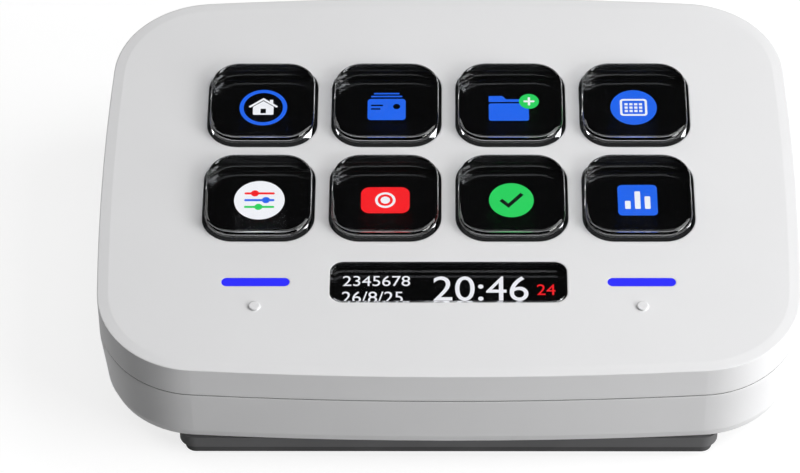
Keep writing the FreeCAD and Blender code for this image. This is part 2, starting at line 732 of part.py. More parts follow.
def housing_clips(body):
    """Four supports under the main board, with hooks that pass its notches and catch it."""
    inner, face = f"({NOTCH_X} - support_width)", f"({NOTCH_X} + hook_gap)"
    start = [(face, BOARD_BOTTOM), (inner, BOARD_BOTTOM), (inner, IN_FLOOR)]
    rows = new_sketch(body, "clip_rows", y=FRONT_CLIP, z=IN_FLOOR)
    near = f"-({FRONT_CLIP} + clip_width / 2)"
    for side, sign in (("left", "-"), ("right", "")):
        profile = new_sketch(body, f"{side}_clip_profile", z=near, plane="XZ_Plane")
        hook_outline(profile, sign, start, face, IN_FLOOR, f"({BOARD_TOP} + rest_gap)", "+")
        clip = pad(body, f"{side}_clip", profile, "clip_width")
        repeat(body, f"{side}_clips", [clip], rows, rows=2, pitch_y=f"({REAR_CLIP} - {FRONT_CLIP})")


def housing_port(body):
    """The socket's opening in the rear wall."""
    behind = f"-({HALF_DEPTH} + overrun)"
    outline = new_sketch(body, "port_hole_outline", y=PORT_MIDDLE, z=behind, plane="XZ_Plane")
    width, height = ("(port_width + 2 * port_gap)", "(port_height + 2 * port_gap)")
    hole = rounded_rectangle(outline, width, height, "(port_corner + port_gap)")
    pocket(body, "port_hole", hole, f"2 * overrun + {HOLLOW_INSET}")


def lower_housing():
    body = new_body("lower_housing")
    tub_form(body)
    tub_inside(body)
    housing_posts(body)
    housing_clips(body)
    housing_port(body)


def rubber_foot():
    body = new_body("rubber_foot")
    pad(body, "foot_sole", foot_outline(new_sketch(body, "sole_outline"), "foot_inset"), "foot_step")
    broad = foot_outline(new_sketch(body, "foot_outline", z="foot_step"), "0")
    pad(body, "foot_broad_step", broad, "base_height + foot_recess - foot_step")


def key(number, column, row):
    """A clear cap with a retaining flange, resting under its opening's ledge."""
    label = f"key_{number}"
    x, y = f"({KEY_PITCH} * {column} - {COLUMN_REACH})", f"({REAR_ROW} - {KEY_PITCH} * {row})"
    body = face_body(label, x, y)
    bottom = f"-{FLANGE_DEPTH}"
    flange = rectangle(new_sketch(body, f"{label}_flange_outline", z=bottom), FLANGE_WIDTH, FLANGE_WIDTH)
    pad(body, f"{label}_flange", flange, "flange_thickness")
    cap = new_sketch(body, f"{label}_cap_outline", z=bottom)
    rounded_rectangle(cap, CAP_WIDTH, CAP_WIDTH, "(key_corner - key_gap)")
    top = pad(body, f"{label}_cap", cap, f"{FLANGE_DEPTH} + key_rise")
    bevel(body, f"{label}_bevel", top, "key_rise", "key_edge")


def keys():
    number = 0
    for row in range(ROWS):
        for column in range(COLUMNS):
            number += 1
            key(number, column, row)


def sheet_outline(body, name, z, inset="0"):
    sketch = new_sketch(body, name, y=PANEL_Y, z=z)
    return rectangle(sketch, *(f"({text} - 2 * {inset})" for text in (SHEET_WIDTH, SHEET_LENGTH)))


def sheet_windows(body, prefix, z, depth, bells=()):
    """The openings that let the display's light through a sheet: keys, window and light bars."""
    picture = new_sketch(body, f"{prefix}_picture_outline", f"-{COLUMN_REACH}", FRONT_ROW, z)
    rectangle(picture, PICTURE_WINDOW, PICTURE_WINDOW)
    opening = pocket(body, f"{prefix}_picture", picture, depth)
    keys_repeat(body, f"{prefix}_pictures", [*bells, opening], picture)
    window = new_sketch(body, f"{prefix}_window_outline", y=WINDOW_Y, z=z)
    rectangle(window, "(window_width + light_margin)", "(window_depth + light_margin)")
    pocket(body, f"{prefix}_window", window, depth)
    bar = new_sketch(body, f"{prefix}_bar_outline", f"-{COLUMN_REACH}", WINDOW_Y, z)
    rectangle(bar, "(bar_length + light_margin)", "(bar_width + light_margin)")
    light = pocket(body, f"{prefix}_bar", bar, depth)
    pair_repeat(body, f"{prefix}_bars", [light], bar, COLUMN_REACH)


def key_mat():
    """The silicone sheet whose raised bells push the keys back up."""
    body = face_body("key_mat")
    low = f"-{CONTACT_DEPTH}"
    pad(body, "mat_sheet", sheet_outline(body, "mat_outline", low), "mat_thickness")
    ring = new_sketch(body, "bell_outline", f"-{COLUMN_REACH}", FRONT_ROW, f"-{MAT_DEPTH}")
    rectangle(ring, BELL_WIDTH, BELL_WIDTH)
    bell = pad(body, "bell", ring, "key_travel + press_gap - bell_gap")
    sheet_windows(body, "mat", low, "mat_thickness + key_travel + press_gap", [bell])


def contact_sheet():
    """The printed switch film under the mat."""
    body = face_body("contact_sheet")
    low = f"-{GLASS_DEPTH}"
    pad(body, "film", sheet_outline(body, "film_outline", low), "contact_thickness")
    sheet_windows(body, "film", low, "contact_thickness")


def display_gasket():
    body = face_body("display_gasket")
    low = f"-{MAT_DEPTH}"
    pad(body, "gasket_block", sheet_outline(body, "gasket_outline", low), f"{MAT_DEPTH} - face_thickness")
    inside = sheet_outline(body, "gasket_inside", low, "gasket_width")
    pocket(body, "gasket_hollow", inside, f"{MAT_DEPTH} - face_thickness")


def display_glass():
    """The panel's rear glass with its bare ledge at the back, and the front glass on it."""
    body = face_body("display_glass")
    lower = new_sketch(body, "rear_glass_outline", y=PANEL_Y, z=f"-{BACKLIGHT_DEPTH}")
    pad(body, "rear_glass", rectangle(lower, GLASS_WIDTH, GLASS_LENGTH), "glass_thickness - ledge_step")
    step = f"-({GLASS_DEPTH} + ledge_step)"
    front = new_sketch(body, "front_glass_outline", y=f"({PANEL_Y} - glass_ledge / 2)", z=step)
    pad(body, "front_glass", rectangle(front, GLASS_WIDTH, f"({GLASS_LENGTH} - glass_ledge)"), "ledge_step")


def backlight():
    body = face_body("backlight")
    guide = new_sketch(body, "guide_outline", y=PANEL_Y, z=f"-{FRAME_SEAT_DEPTH}")
    pad(body, "light_guide", rectangle(guide, GLASS_WIDTH, GLASS_LENGTH), "backlight_thickness")


def display_frame():
    """The black tray that carries the display and clamps mat and film against the cover."""
    body = face_body("display_frame")
    low = f"-{FRAME_DEPTH}"
    outline = sheet_outline(body, "frame_outline", low, f"(-{FRAME_MARGIN})")
    pad(body, "frame_block", outline, f"{FRAME_DEPTH} - face_thickness")
    room = sheet_outline(body, "frame_sheet_room", f"-{GLASS_DEPTH}", "(-fit_gap)")
    pocket(body, "frame_sheet_seat", room, f"{GLASS_DEPTH} - face_thickness")
    seat = new_sketch(body, "frame_glass_room", y=PANEL_Y, z=f"-{FRAME_SEAT_DEPTH}")
    rectangle(seat, f"({GLASS_WIDTH} + 2 * fit_gap)", f"({GLASS_LENGTH} + 2 * fit_gap)")
    pocket(body, "frame_glass_seat", seat, f"{FRAME_SEAT_DEPTH} - face_thickness")
    half_pitch = "((frame_opening_width + frame_opening_web) / 2)"
    window = new_sketch(body, "frame_window_outline", f"-{half_pitch}", PANEL_Y, low)
    opening = pocket(
        body, "frame_window", rectangle(window, "frame_opening_width", "frame_opening_depth"), "frame_floor"
    )
    pair_repeat(body, "frame_windows", [opening], window, half_pitch)
    depth = f"(sheet_end + {FRAME_MARGIN} + overrun)"
    where = ("-ribbon_x", f"({GLASS_REAR} + {depth} / 2)", f"-{FRAME_SEAT_DEPTH}")
    notch = rectangle(new_sketch(body, "ribbon_notch_outline", *where), "notch_width", depth)
    cut = pocket(body, "ribbon_notch", notch, f"{FRAME_SEAT_DEPTH} - face_thickness")
    pair_repeat(body, "ribbon_notches", [cut], notch, "ribbon_x")


def display_driver():
    """The bare driver chip on the rear glass's ledge."""
    body = face_body("display_driver", y=f"({GLASS_REAR} - glass_ledge / 2)")
    chip = new_sketch(body, "driver_outline", z=f"-({GLASS_DEPTH} + ledge_step)")
    pad(body, "driver_block", rectangle(chip, "driver_width", "driver_depth"), "ribbon_thickness")


def info_window():
    """The clear lens of the information window, held by a flange under the face."""
    body = face_body("info_window", y=WINDOW_Y)
    flange = new_sketch(body, "lens_flange_outline", z="-face_thickness")
    spread = "2 * (window_flange - slide_gap)"
    rectangle(flange, f"(window_width + {spread})", f"(window_depth + {spread})")
    pad(body, "lens_flange", flange, "window_flange_thickness")
    lens = new_sketch(body, "lens_outline", z="-face_thickness")
    gaps = "2 * window_gap"
    rounded_rectangle(
        lens, f"(window_width - {gaps})", f"(window_depth - {gaps})", "(window_corner - window_gap)"
    )
    top = pad(body, "lens_block", lens, "face_thickness - window_sink")
    bevel(body, "lens_bevel", top, "-window_sink", "window_edge")


def light_bar(side, sign):
    """A diffusing light guide, flush with the face and held by a flange under it."""
    label = f"light_bar_{side}"
    body = face_body(label, f"({sign} * {COLUMN_REACH})", WINDOW_Y)
    flange = new_sketch(body, f"{label}_flange_outline", z="-face_thickness")
    spread = "2 * (bar_flange - slide_gap)"
    rectangle(flange, f"(bar_length + {spread})", f"(bar_width + {spread})")
    pad(body, f"{label}_flange", flange, "bar_flange_thickness")
    bar = new_sketch(body, f"{label}_outline", z="-face_thickness")
    slot(bar, "(bar_length - 2 * bar_gap)", "(bar_width - 2 * bar_gap)")
    pad(body, f"{label}_block", bar, "face_thickness")


def main_board():
    """The board on its supports, with four notches in its sides that the clips pass."""
    middle = f"({BOARD_BACK} - board_depth / 2)"
    body = block("main_board", "board_width", "board_depth", "board_thickness", y=middle, z=BOARD_BOTTOM)
    notch_x = "(board_width / 2 + (overrun - board_notch) / 2)"
    notch = new_sketch(body, "board_notch_outline", f"-{notch_x}", FRONT_CLIP, BOARD_BOTTOM)
    rectangle(notch, "(board_notch + overrun)", "(clip_width + 2 * hook_gap)")
    cut = pocket(body, "board_side_notch", notch, "board_thickness")
    four_repeat(body, "board_notches", [cut], notch, notch_x, f"({REAR_CLIP} - {FRONT_CLIP})")


def board_parts():
    """The larger parts on the main board's top side."""
    parts = (
        ("main_controller", "controller_width", "controller_width", "controller_height", "0"),
        ("memory_chip", "memory_width", "memory_depth", "controller_height", "memory_x"),
        ("power_inductor", "inductor_width", "inductor_width", "inductor_height", "-inductor_x"),
    )
    for label, width, depth, height, x in parts:
        block(label, width, depth, height, x, PARTS_Y, BOARD_TOP)
    for label, sign in (("display_connector", "-1"), ("key_connector", "1")):
        where = (f"({sign} * ribbon_x)", f"({CONNECTOR_BACK} - connector_depth / 2)", BOARD_TOP)
        block(label, "connector_width", "connector_depth", "connector_height", *where)


def ballast_plate():
    """The steel plate that keeps the light housing from sliding, with holes for the front supports."""
    length, middle = f"({BALLAST_BACK} - {BALLAST_FRONT})", f"(({BALLAST_BACK} + {BALLAST_FRONT}) / 2)"
    body = block("ballast_plate", "ballast_width", length, "ballast_thickness", y=middle, z=FLOOR_TOP)
    clip = "(support_width + hook_gap + hook_thickness)"
    hole_x = f"({NOTCH_X} - support_width + {clip} / 2)"
    hole = new_sketch(body, "ballast_hole_outline", f"-{hole_x}", FRONT_CLIP, FLOOR_TOP)
    rectangle(hole, f"({clip} + 2 * ballast_gap)", "(clip_width + 2 * ballast_gap)")
    cut = pocket(body, "ballast_hole", hole, "ballast_thickness")
    pair_repeat(body, "ballast_holes", [cut], hole, hole_x)


def socket():
    """The shell of the cable socket, open to the back, and the tongue inside it."""
    body = new_body("socket_shell")
    mouth = f"-{PORT_MOUTH}"
    outer = new_sketch(body, "shell_outline", y=PORT_MIDDLE, z=mouth, plane="XZ_Plane")
    rounded_rectangle(outer, "port_width", "port_height", "port_corner")
    pad(body, "shell_block", outer, "port_length")
    inner = new_sketch(body, "shell_inside", y=PORT_MIDDLE, z=mouth, plane="XZ_Plane")
    sheets = "2 * port_sheet"
    rounded_rectangle(
        inner, f"(port_width - {sheets})", f"(port_height - {sheets})", "(port_corner - port_sheet)"
    )
    pocket(body, "shell_hollow", inner, "port_length - 2 * port_sheet")
    body = new_body("socket_tongue")
    back = f"({PORT_MOUTH} - port_length + 2 * port_sheet)"
    tongue = new_sketch(body, "contact_tongue_outline", y=PORT_MIDDLE, z=f"-{back}", plane="XZ_Plane")
    rectangle(tongue, "tongue_width", "tongue_thickness")
    pad(body, "contact_tongue", tongue, "tongue_length", up=False)


def ribbon(label, sign, start_y, start_depth):
    """A flat cable that leaves the display stack, turns down behind it and runs into its connector."""
    body = new_body(label)
    x = f"({sign} * ribbon_x)"
    half = "(ribbon_thickness / 2)"
    world_y, world_z = world_point(start_y, f"({start_depth} - {half})")
    route = new_sketch(body, f"{label}_route", z=x, plane="YZ_Plane")
    fall = f"(({SHEET_REAR} + {FRAME_MARGIN}) * cos(tilt) + ribbon_reach)"
    end_z = f"({BOARD_TOP} + connector_height / 2)"
    start = vector(value(world_y), value(world_z))
    down, low = value(fall), value(end_z)
    bend, slope = value("ribbon_bend"), math.radians(value("tilt"))
    top = start.y + (down - start.x) * math.tan(slope)
    reach = bend * math.tan((math.pi / 2 + slope) / 2)
    leave = vector(down - reach * math.cos(slope), top - reach * math.sin(slope))
    first_middle = vector(down - bend, top - reach)
    last_middle = vector(down - bend, low + bend)
    finish = vector(value(CONNECTOR_BACK), low)
    quarter = math.pi / 2
    first = route.addGeometry(Part.LineSegment(start, leave))
    upper = arc(route, first_middle, bend, 0, quarter + slope)
    drop = route.addGeometry(Part.LineSegment(vector(down, top - reach), vector(down, low + bend)))
    lower = arc(route, last_middle, bend, -quarter, 0)
    last = route.addGeometry(Part.LineSegment(vector(down - bend, low), finish))
    hold(route, "Tangent", first, 2, upper, 2)
    hold(route, "Tangent", upper, 1, drop, 1)
    hold(route, "Tangent", drop, 2, lower, 2)
    hold(route, "Tangent", lower, 1, last, 1)
    hold(route, "Vertical", drop)
    hold(route, "Horizontal", last)
    hold(route, "Equal", upper, lower)
    dimension(route, "Radius", upper, "ribbon_bend")
    dimension(route, "DistanceX", -1, 1, first, 1, world_y)
    dimension(route, "DistanceY", -1, 1, first, 1, world_z)
    dimension(route, "DistanceX", -1, 1, drop, 1, fall)
    dimension(route, "DistanceX", -1, 1, last, 2, CONNECTOR_BACK)
    dimension(route, "DistanceY", -1, 1, last, 2, end_z)
    index = hold(route, "Angle", first, math.radians(value("tilt")))
    drive(route, f"Constraints[{index}]", "tilt * 1 deg")
    section = new_sketch(body, f"{label}_section", x, end_z, f"-{CONNECTOR_BACK}", plane="XZ_Plane")
    rectangle(section, "ribbon_width", "ribbon_thickness")
    document.recompute()
    strip = body.newObject("PartDesign::AdditivePipe", f"{label}_strip")
    strip.Profile = section
    strip.Spine = (route, [f"Edge{n}" for n in range(1, 6)])


def housing_screws():
    """Four screws from below, the rear pair longer: a round head and a plain shank, turned in one."""
    body = new_body("housing_screws", groups=True)
    made = []
    for end, y in SCREW_ROWS:
        length = f"({post_top(y)} - {SCREW_SEAT} + screw_bite)"
        profile = new_sketch(body, f"{end}_screw_profile", "-screw_x", SCREW_SEAT, f"-{y}", plane="XZ_Plane")
        polygon(
            profile,
            (
                ("0", "-screw_head_height"),
                ("0", length),
                ("screw_radius", length),
                ("screw_radius", "0"),
                ("screw_head", "0"),
                ("screw_head", "-screw_head_height"),
            ),
        )
        turned = body.newObject("PartDesign::Revolution", f"{end}_screw")
        turned.Profile = profile
        turned.ReferenceAxis = (profile, ["V_Axis"])
        turned.Angle = WHOLE_TURN
        made.append(turned)
    pair_repeat(body, "screw_group", made, profile, "screw_x")


def build():
    top_cover()
    lower_housing()
    rubber_foot()
    keys()
    key_mat()
    contact_sheet()
    display_gasket()
    display_glass()
    backlight()
    display_frame()
    display_driver()
    info_window()
    light_bar("left", "-1")
    light_bar("right", "1")
    main_board()
    board_parts()
    ballast_plate()
    socket()
    ribbon("display_ribbon", "-1", f"({GLASS_REAR} - driver_depth)", f"({GLASS_DEPTH} + ledge_step)")
    ribbon("key_ribbon", "1", SHEET_REAR, GLASS_DEPTH)
    housing_screws()


def check_and_write():
    """Refuses to write anything while an object has failed or a sub-part's shape isn't sound."""
    document.recompute()
    for thing in document.Objects:
        if set(thing.State) & {"Invalid", "Error"}:
            raise ValueError(f"{thing.Name} failed: {thing.State}")
    for body in subparts:
        if body.Shape.isNull() or not body.Shape.isValid():
            raise ValueError(f"{body.Label} has no sound shape")
        for cut in body.Group:
            if cut.TypeId == "PartDesign::Pocket" and not cut.Shape.Volume < cut.BaseFeature.Shape.Volume:
                raise ValueError(f"{cut.Name} cuts nothing from {body.Label}")
    os.makedirs("parts", exist_ok=True)
    for body in subparts:
        body.Shape.exportStep(f"parts/{body.Label}.step")
        print(body.Label, len(body.Shape.Solids), round(body.Shape.Volume, 1))


build()
check_and_write()
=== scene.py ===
import json
import math

import bpy
from mathutils import Matrix, Vector


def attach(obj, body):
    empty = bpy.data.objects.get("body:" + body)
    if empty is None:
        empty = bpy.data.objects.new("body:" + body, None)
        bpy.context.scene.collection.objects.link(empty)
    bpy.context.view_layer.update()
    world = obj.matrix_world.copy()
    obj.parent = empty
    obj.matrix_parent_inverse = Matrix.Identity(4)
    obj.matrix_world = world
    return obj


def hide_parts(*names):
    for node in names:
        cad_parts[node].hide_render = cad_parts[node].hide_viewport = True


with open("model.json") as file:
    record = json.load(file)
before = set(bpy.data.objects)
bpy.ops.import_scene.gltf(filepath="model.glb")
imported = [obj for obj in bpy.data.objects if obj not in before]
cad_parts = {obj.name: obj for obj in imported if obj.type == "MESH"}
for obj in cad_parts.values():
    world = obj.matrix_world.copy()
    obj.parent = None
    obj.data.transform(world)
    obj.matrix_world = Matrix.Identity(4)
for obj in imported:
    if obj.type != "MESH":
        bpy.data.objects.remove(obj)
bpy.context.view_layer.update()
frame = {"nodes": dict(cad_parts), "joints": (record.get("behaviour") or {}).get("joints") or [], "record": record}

# A desk keypad with eight clear keys over one picture panel, in a white two-part housing.
# The keys' rounded caps, the black liners in their wells, a dark strip that paints the shadow in the seam, and the
# pictures and figures on the panel's glass are made here; everything else is the model's own.

MM = 0.001
BASE = "base"

# The face frame, from the way the keys are pressed: x to the right, y up the slope, z out of the face.
ACROSS = Vector((1, 0, 0))
OUT = -Vector(frame["joints"][0]["axis"]).normalized()
UPSLOPE = OUT.cross(ACROSS)
FACE_TURN = Matrix((ACROSS, UPSLOPE, OUT)).transposed().to_4x4()


def spread(node, direction):
    """How far a node reaches along a direction: its least and greatest distance from the origin."""
    reaches = [vertex.co.dot(direction) for vertex in frame["nodes"][node].data.vertices]
    return min(reaches), max(reaches)


def middle(node, direction):
    return sum(spread(node, direction)) / 2


# The touch dots are the cover's highest points, so the face lies below them by their rise.
TOUCH_RISE = 0.25 * MM
FACE_LEVEL = spread("top_cover", OUT)[1] - TOUCH_RISE
PANEL_LEVEL = spread("display_glass", OUT)[1]
KEY_NAMES = [f"key_{number}" for number in range(1, 9)]
KEY_PLACES = {key: (middle(key, ACROSS), middle(key, UPSLOPE)) for key in KEY_NAMES}
WINDOW_PLACE = (middle("info_window", ACROSS), middle("info_window", UPSLOPE))


# Materials

# Where most of a noise's values begin and end.
NOISE_LOW = 0.3
NOISE_HIGH = 0.7
BEVEL_SAMPLES = 8
# How many times smaller the patches of uneven gloss are than those of uneven colour.
GLOSS_PATCHES = 3
# Clear plastic: its wiping marks, in metres, and its polish.
ACRYLIC_IOR = 1.49
CLEAR_GLOSS = (0.0, 0.03)
WIPE_SIZE = 0.004
POLISH_SIZE = 0.002
POLISH_HEIGHT = 0.0000008
# What shines: its roughness, its patches in metres, and how dark these get.
LIT_ROUGHNESS = 0.4
LIT_PATCH = 0.003
LIT_SHADE = 0.96


def linear(colour):
    """A 0-255 screen colour as the linear values that the shaders take."""
    parts = [part / 255 for part in colour]
    return tuple(part / 12.92 if part <= 0.04045 else ((part + 0.055) / 1.055) ** 2.4 for part in parts)


def new_material(name):
    material = bpy.data.materials.new(name)
    material.use_nodes = True
    tree = material.node_tree
    return material, tree, tree.nodes["Principled BSDF"]


def set_inputs(node, **sockets):
    """Sets some of a node's inputs; names use _ for a space."""
    for name, number in sockets.items():
        node.inputs[name.replace("_", " ")].default_value = number


def add(tree, kind, **sockets):
    """A new node with some of its inputs set."""
    node = tree.nodes.new(kind)
    set_inputs(node, **sockets)
    return node


def add_math(tree, kind, operation, **sockets):
    node = add(tree, kind, **sockets)
    node.operation = operation
    return node


def grain(tree, size, detail=3):
    """Noise whose features are about size metres across."""
    place = tree.nodes.new("ShaderNodeTexCoord")
    noise = add(tree, "ShaderNodeTexNoise", Scale=1 / size, Detail=detail)
    tree.links.new(place.outputs["Object"], noise.inputs["Vector"])
    return noise.outputs["Fac"]


def between(tree, source, low, high):
    """The noise value stretched to run from low to high over its usual range."""
    span = add(tree, "ShaderNodeMapRange", From_Min=NOISE_LOW, From_Max=NOISE_HIGH, To_Min=low, To_Max=high)
    tree.links.new(source, span.inputs["Value"])
    return span.outputs["Result"]


def tinted(tree, source, light, shade):
    """A colour that the noise darkens in places to a share of itself."""
    ramp = tree.nodes.new("ShaderNodeValToRGB")
    dark_end, light_end = ramp.color_ramp.elements
    dark_end.position = NOISE_LOW
    dark_end.color = (*(part * shade for part in light), 1)
    light_end.position = NOISE_HIGH
    light_end.color = (*light, 1)
    tree.links.new(source, ramp.inputs["Fac"])
    return ramp.outputs["Color"]


def relief(tree, shader, source, height, bevel=0):
    """Raises the surface by the noise, over edges softened by the bevel radius."""
    bump = add(tree, "ShaderNodeBump", Distance=height)
    tree.links.new(source, bump.inputs["Height"])
    if bevel:
        edge = add(tree, "ShaderNodeBevel", Radius=bevel)
        edge.samples = BEVEL_SAMPLES
        tree.links.new(edge.outputs["Normal"], bump.inputs["Normal"])
    tree.links.new(bump.outputs["Normal"], shader.inputs["Normal"])


def moulded(name, colour, gloss, grain_size, height, shade=0.94, bevel=0, patch=0.02, **sockets):
    """A moulded or machined surface: slightly uneven colour and gloss, with a fine grain in relief."""
    material, tree, shader = new_material(name)
    tree.links.new(tinted(tree, grain(tree, patch), linear(colour), shade), shader.inputs["Base Color"])
    tree.links.new(between(tree, grain(tree, patch / GLOSS_PATCHES), *gloss), shader.inputs["Roughness"])
    relief(tree, shader, grain(tree, grain_size), height, bevel)
    set_inputs(shader, **sockets)
    return material


def clear(name, colour):
    """Polished clear plastic with faint wiping marks in its gloss."""
    material, tree, shader = new_material(name)
    set_inputs(shader, Base_Color=(*linear(colour), 1), Transmission_Weight=1, IOR=ACRYLIC_IOR)
    tree.links.new(between(tree, grain(tree, WIPE_SIZE), *CLEAR_GLOSS), shader.inputs["Roughness"])
    relief(tree, shader, grain(tree, POLISH_SIZE), POLISH_HEIGHT)
    return material


def lit(name, colour, strength):
    """A light's or a picture's colour, with the faint unevenness of its backlight."""
    material, tree, shader = new_material(name)
    set_inputs(shader, Base_Color=(0, 0, 0, 1), Roughness=LIT_ROUGHNESS, Emission_Strength=strength)
    glow = tinted(tree, grain(tree, LIT_PATCH), linear(colour), LIT_SHADE)
    tree.links.new(glow, shader.inputs["Emission Color"])
    return material


# Screen colour, range of roughness, and the grain's size and height in metres of each surface.
MATERIALS = {
    "white_housing": moulded(
        "white_abs", (231, 231, 232), (0.45, 0.55), 0.0004, 0.000003, shade=0.985, bevel=0.0003
    ),
    "foot_rubber": moulded("foot_rubber", (98, 98, 99), (0.75, 0.9), 0.0003, 0.00001),
    "clear_key": clear("clear_key", (250, 252, 255)),
    "window_lens": clear("window_lens", (245, 246, 250)),
    "light_guide": lit("light_guide", (42, 42, 255), 1.0),
    "mat_silicone": moulded("mat_silicone", (9, 9, 10), (0.5, 0.7), 0.0003, 0.000004),
    "contact_film": moulded("contact_film", (16, 16, 18), (0.3, 0.4), 0.001, 0.000002),
    "gasket_foam": moulded("gasket_foam", (30, 30, 30), (0.9, 1.0), 0.0002, 0.00003),
    "panel_glass": moulded("panel_glass", (5, 5, 6), (0.05, 0.12), 0.002, 0.0000002),
    "backlight_white": moulded("backlight_white", (230, 230, 226), (0.4, 0.5), 0.001, 0.000002),
    "frame_black": moulded("frame_black", (14, 14, 15), (0.5, 0.65), 0.0003, 0.000006),
    "silicon_chip": moulded("silicon_chip", (34, 34, 40), (0.15, 0.25), 0.001, 0.000001),
    "board_laminate": moulded("board_laminate", (18, 74, 44), (0.35, 0.5), 0.0008, 0.000008),
    "chip_black": moulded("chip_black", (28, 28, 30), (0.6, 0.75), 0.0002, 0.000008),
    "ferrite_grey": moulded("ferrite_grey", (70, 70, 74), (0.6, 0.75), 0.0002, 0.00001),
    "connector_cream": moulded("connector_cream", (226, 218, 196), (0.4, 0.5), 0.0004, 0.000004),
    "ballast_steel": moulded("ballast_steel", (176, 178, 180), (0.3, 0.45), 0.0006, 0.000006, Metallic=1),
    "socket_steel": moulded("socket_steel", (196, 197, 200), (0.15, 0.3), 0.0008, 0.000002, Metallic=1),
    "tongue_black": moulded("tongue_black", (24, 24, 25), (0.45, 0.6), 0.0003, 0.000004),
    "ribbon_film": moulded("ribbon_film", (178, 108, 36), (0.3, 0.4), 0.001, 0.000003),
    "screw_steel": moulded("screw_steel", (92, 92, 96), (0.3, 0.45), 0.0004, 0.000004, Metallic=1),
}

# The foot's lower step, painted darker than the broad step's sides: painted shade near the floor.
SOLE_HEIGHT = 1.8 * MM
SOLE_PAINTED_SHADE = 0.56
SOLE_EDGE = 0.05 * MM


def paint_sole_shade():
    """Paints shade on the foot's rubber: darkens it below the top of its sole, near the floor."""
    tree = MATERIALS["foot_rubber"].node_tree
    colour = tree.nodes["Principled BSDF"].inputs["Base Color"]
    source = colour.links[0].from_socket
    place = tree.nodes.new("ShaderNodeTexCoord")
    split = tree.nodes.new("ShaderNodeSeparateXYZ")
    tree.links.new(place.outputs["Object"], split.inputs["Vector"])
    low, high = SOLE_HEIGHT - SOLE_EDGE, SOLE_HEIGHT + SOLE_EDGE
    shade = add(tree, "ShaderNodeMapRange", From_Min=low, From_Max=high, To_Min=SOLE_PAINTED_SHADE, To_Max=1)
    tree.links.new(split.outputs["Z"], shade.inputs["Value"])
    shaded = add_math(tree, "ShaderNodeVectorMath", "SCALE")
    tree.links.new(source, shaded.inputs["Vector"])
    tree.links.new(shade.outputs["Result"], shaded.inputs["Scale"])
    tree.links.new(shaded.outputs["Vector"], colour)


def dress_nodes():
    """Gives every node the material of its slot in the record."""
    for part in frame["record"]["subparts"]:
        node = frame["nodes"][part["node"]]
        for slot in node.material_slots:
            slot.material = MATERIALS[part["material_slot"]]


# Outlines and meshes in the face frame
# Outlines and levels are in millimetres, and levels count from the face.

CORNER_STEPS = 8
PICTURE_STEPS = 6
DISC_STEPS = 48
SMALL_DISC_STEPS = 24
# The most that a stroke's outer corner is drawn out, as the least cosine of its half turn.
MITRE_LIMIT = 0.3


def turned(angle, radius):
    """The point at an angle in degrees and a distance from the origin."""
    return radius * math.cos(math.radians(angle)), radius * math.sin(math.radians(angle))


def rounded(width, height, corner, x=0, y=0, steps=PICTURE_STEPS):
    """A rectangle with round corners, anticlockwise from its right side."""
    points = []
    for quarter, (side, end) in enumerate(((1, 1), (-1, 1), (-1, -1), (1, -1))):
        middle_x = x + side * (width / 2 - corner)
        middle_y = y + end * (height / 2 - corner)
        for step in range(steps + 1):
            a, b = turned(90 * (quarter + step / steps), corner)
            points.append((middle_x + a, middle_y + b))
    return points


def inset_outline(opening, inset):
    width, depth, corner = opening
    return rounded(width - 2 * inset, depth - 2 * inset, corner - inset, steps=CORNER_STEPS)


def square_outline(room, inset):
    """A sharp rectangle with as many points as a rounded one, so that the two can be joined."""
    width, depth = (size / 2 - inset for size in room)
    points = []
    for quarter in range(4):
        for step in range(CORNER_STEPS + 1):
            a, b = turned(90 * (quarter + step / CORNER_STEPS), 1)
            reach = max(abs(a), abs(b))
            points.append((a / reach * width, b / reach * depth))
    return points


def disc(radius, x=0, y=0, steps=DISC_STEPS):
    return [(x + a, y + b) for a, b in (turned(360 * step / steps, radius) for step in range(steps))]


def band(points, width):
    """An open stroke of even width along straight runs."""
    left, right = [], []
    last = len(points) - 1
    for index, point in enumerate(points):
        here = Vector(point)
        before = Vector(points[max(index - 1, 0)])
        after = Vector(points[min(index + 1, last)])
        into = (here - before).normalized() if index else (after - here).normalized()
        away = (after - here).normalized() if index < last else into
        bisector = (into + away).normalized()
        side = Vector((-bisector.y, bisector.x)) * (width / 2 / max(bisector.dot(into), MITRE_LIMIT))
        left.append(tuple(here + side))
        right.append(tuple(here - side))
    return left + right[::-1]


def add_rows(points, faces, rows, closed):
    """Adds rows of points, each an outline and its level, and the faces from each row to the next."""
    first, count = len(points), len(rows[0][0])
    for outline, level in rows:
        points.extend((x * MM, y * MM, level * MM) for x, y in outline)
    for row in range(len(rows) if closed else len(rows) - 1):
        here, there = first + row * count, first + (row + 1) % len(rows) * count
        for step in range(count):
            after = (step + 1) % count
            faces.append((here + step, here + after, there + after, there + step))


def face_mesh(name, points, faces, slot, place, body):
    """A mesh drawn in the face frame about a face place, riding on a body."""
    mesh = bpy.data.meshes.new(name)
    mesh.from_pydata(points, [], faces)
    mesh.validate()
    mesh.transform(FACE_TURN @ Matrix.Translation((*place, FACE_LEVEL)))
    mesh.materials.append(MATERIALS[slot])
    piece = bpy.data.objects.new(name, mesh)
    bpy.context.scene.collection.objects.link(piece)
    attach(piece, body)
    return piece


def liner(name, place, rings):
    """A thin black piece of closed rings, each between two outlines and two levels."""
    points, faces = [], []
    for outer, inner, low, high in rings:
        add_rows(points, faces, ((outer, low), (outer, high), (inner, high), (inner, low)), closed=True)
    return face_mesh(name, points, faces, "frame_black", place, BASE)


# Well liners

# The openings, as width, depth and corner, and the rooms under their lips, as in the cover.
KEY_OPENING = (17.3, 17.3, 4.8)
KEY_ROOM = (18.6, 18.6)
WINDOW_OPENING = (35.9, 8.06, 2.0)
FACE_THICKNESS = 1.8
LIP = 0.75
LIP_GAP = 0.05
WINDOW_LIP = 1.1
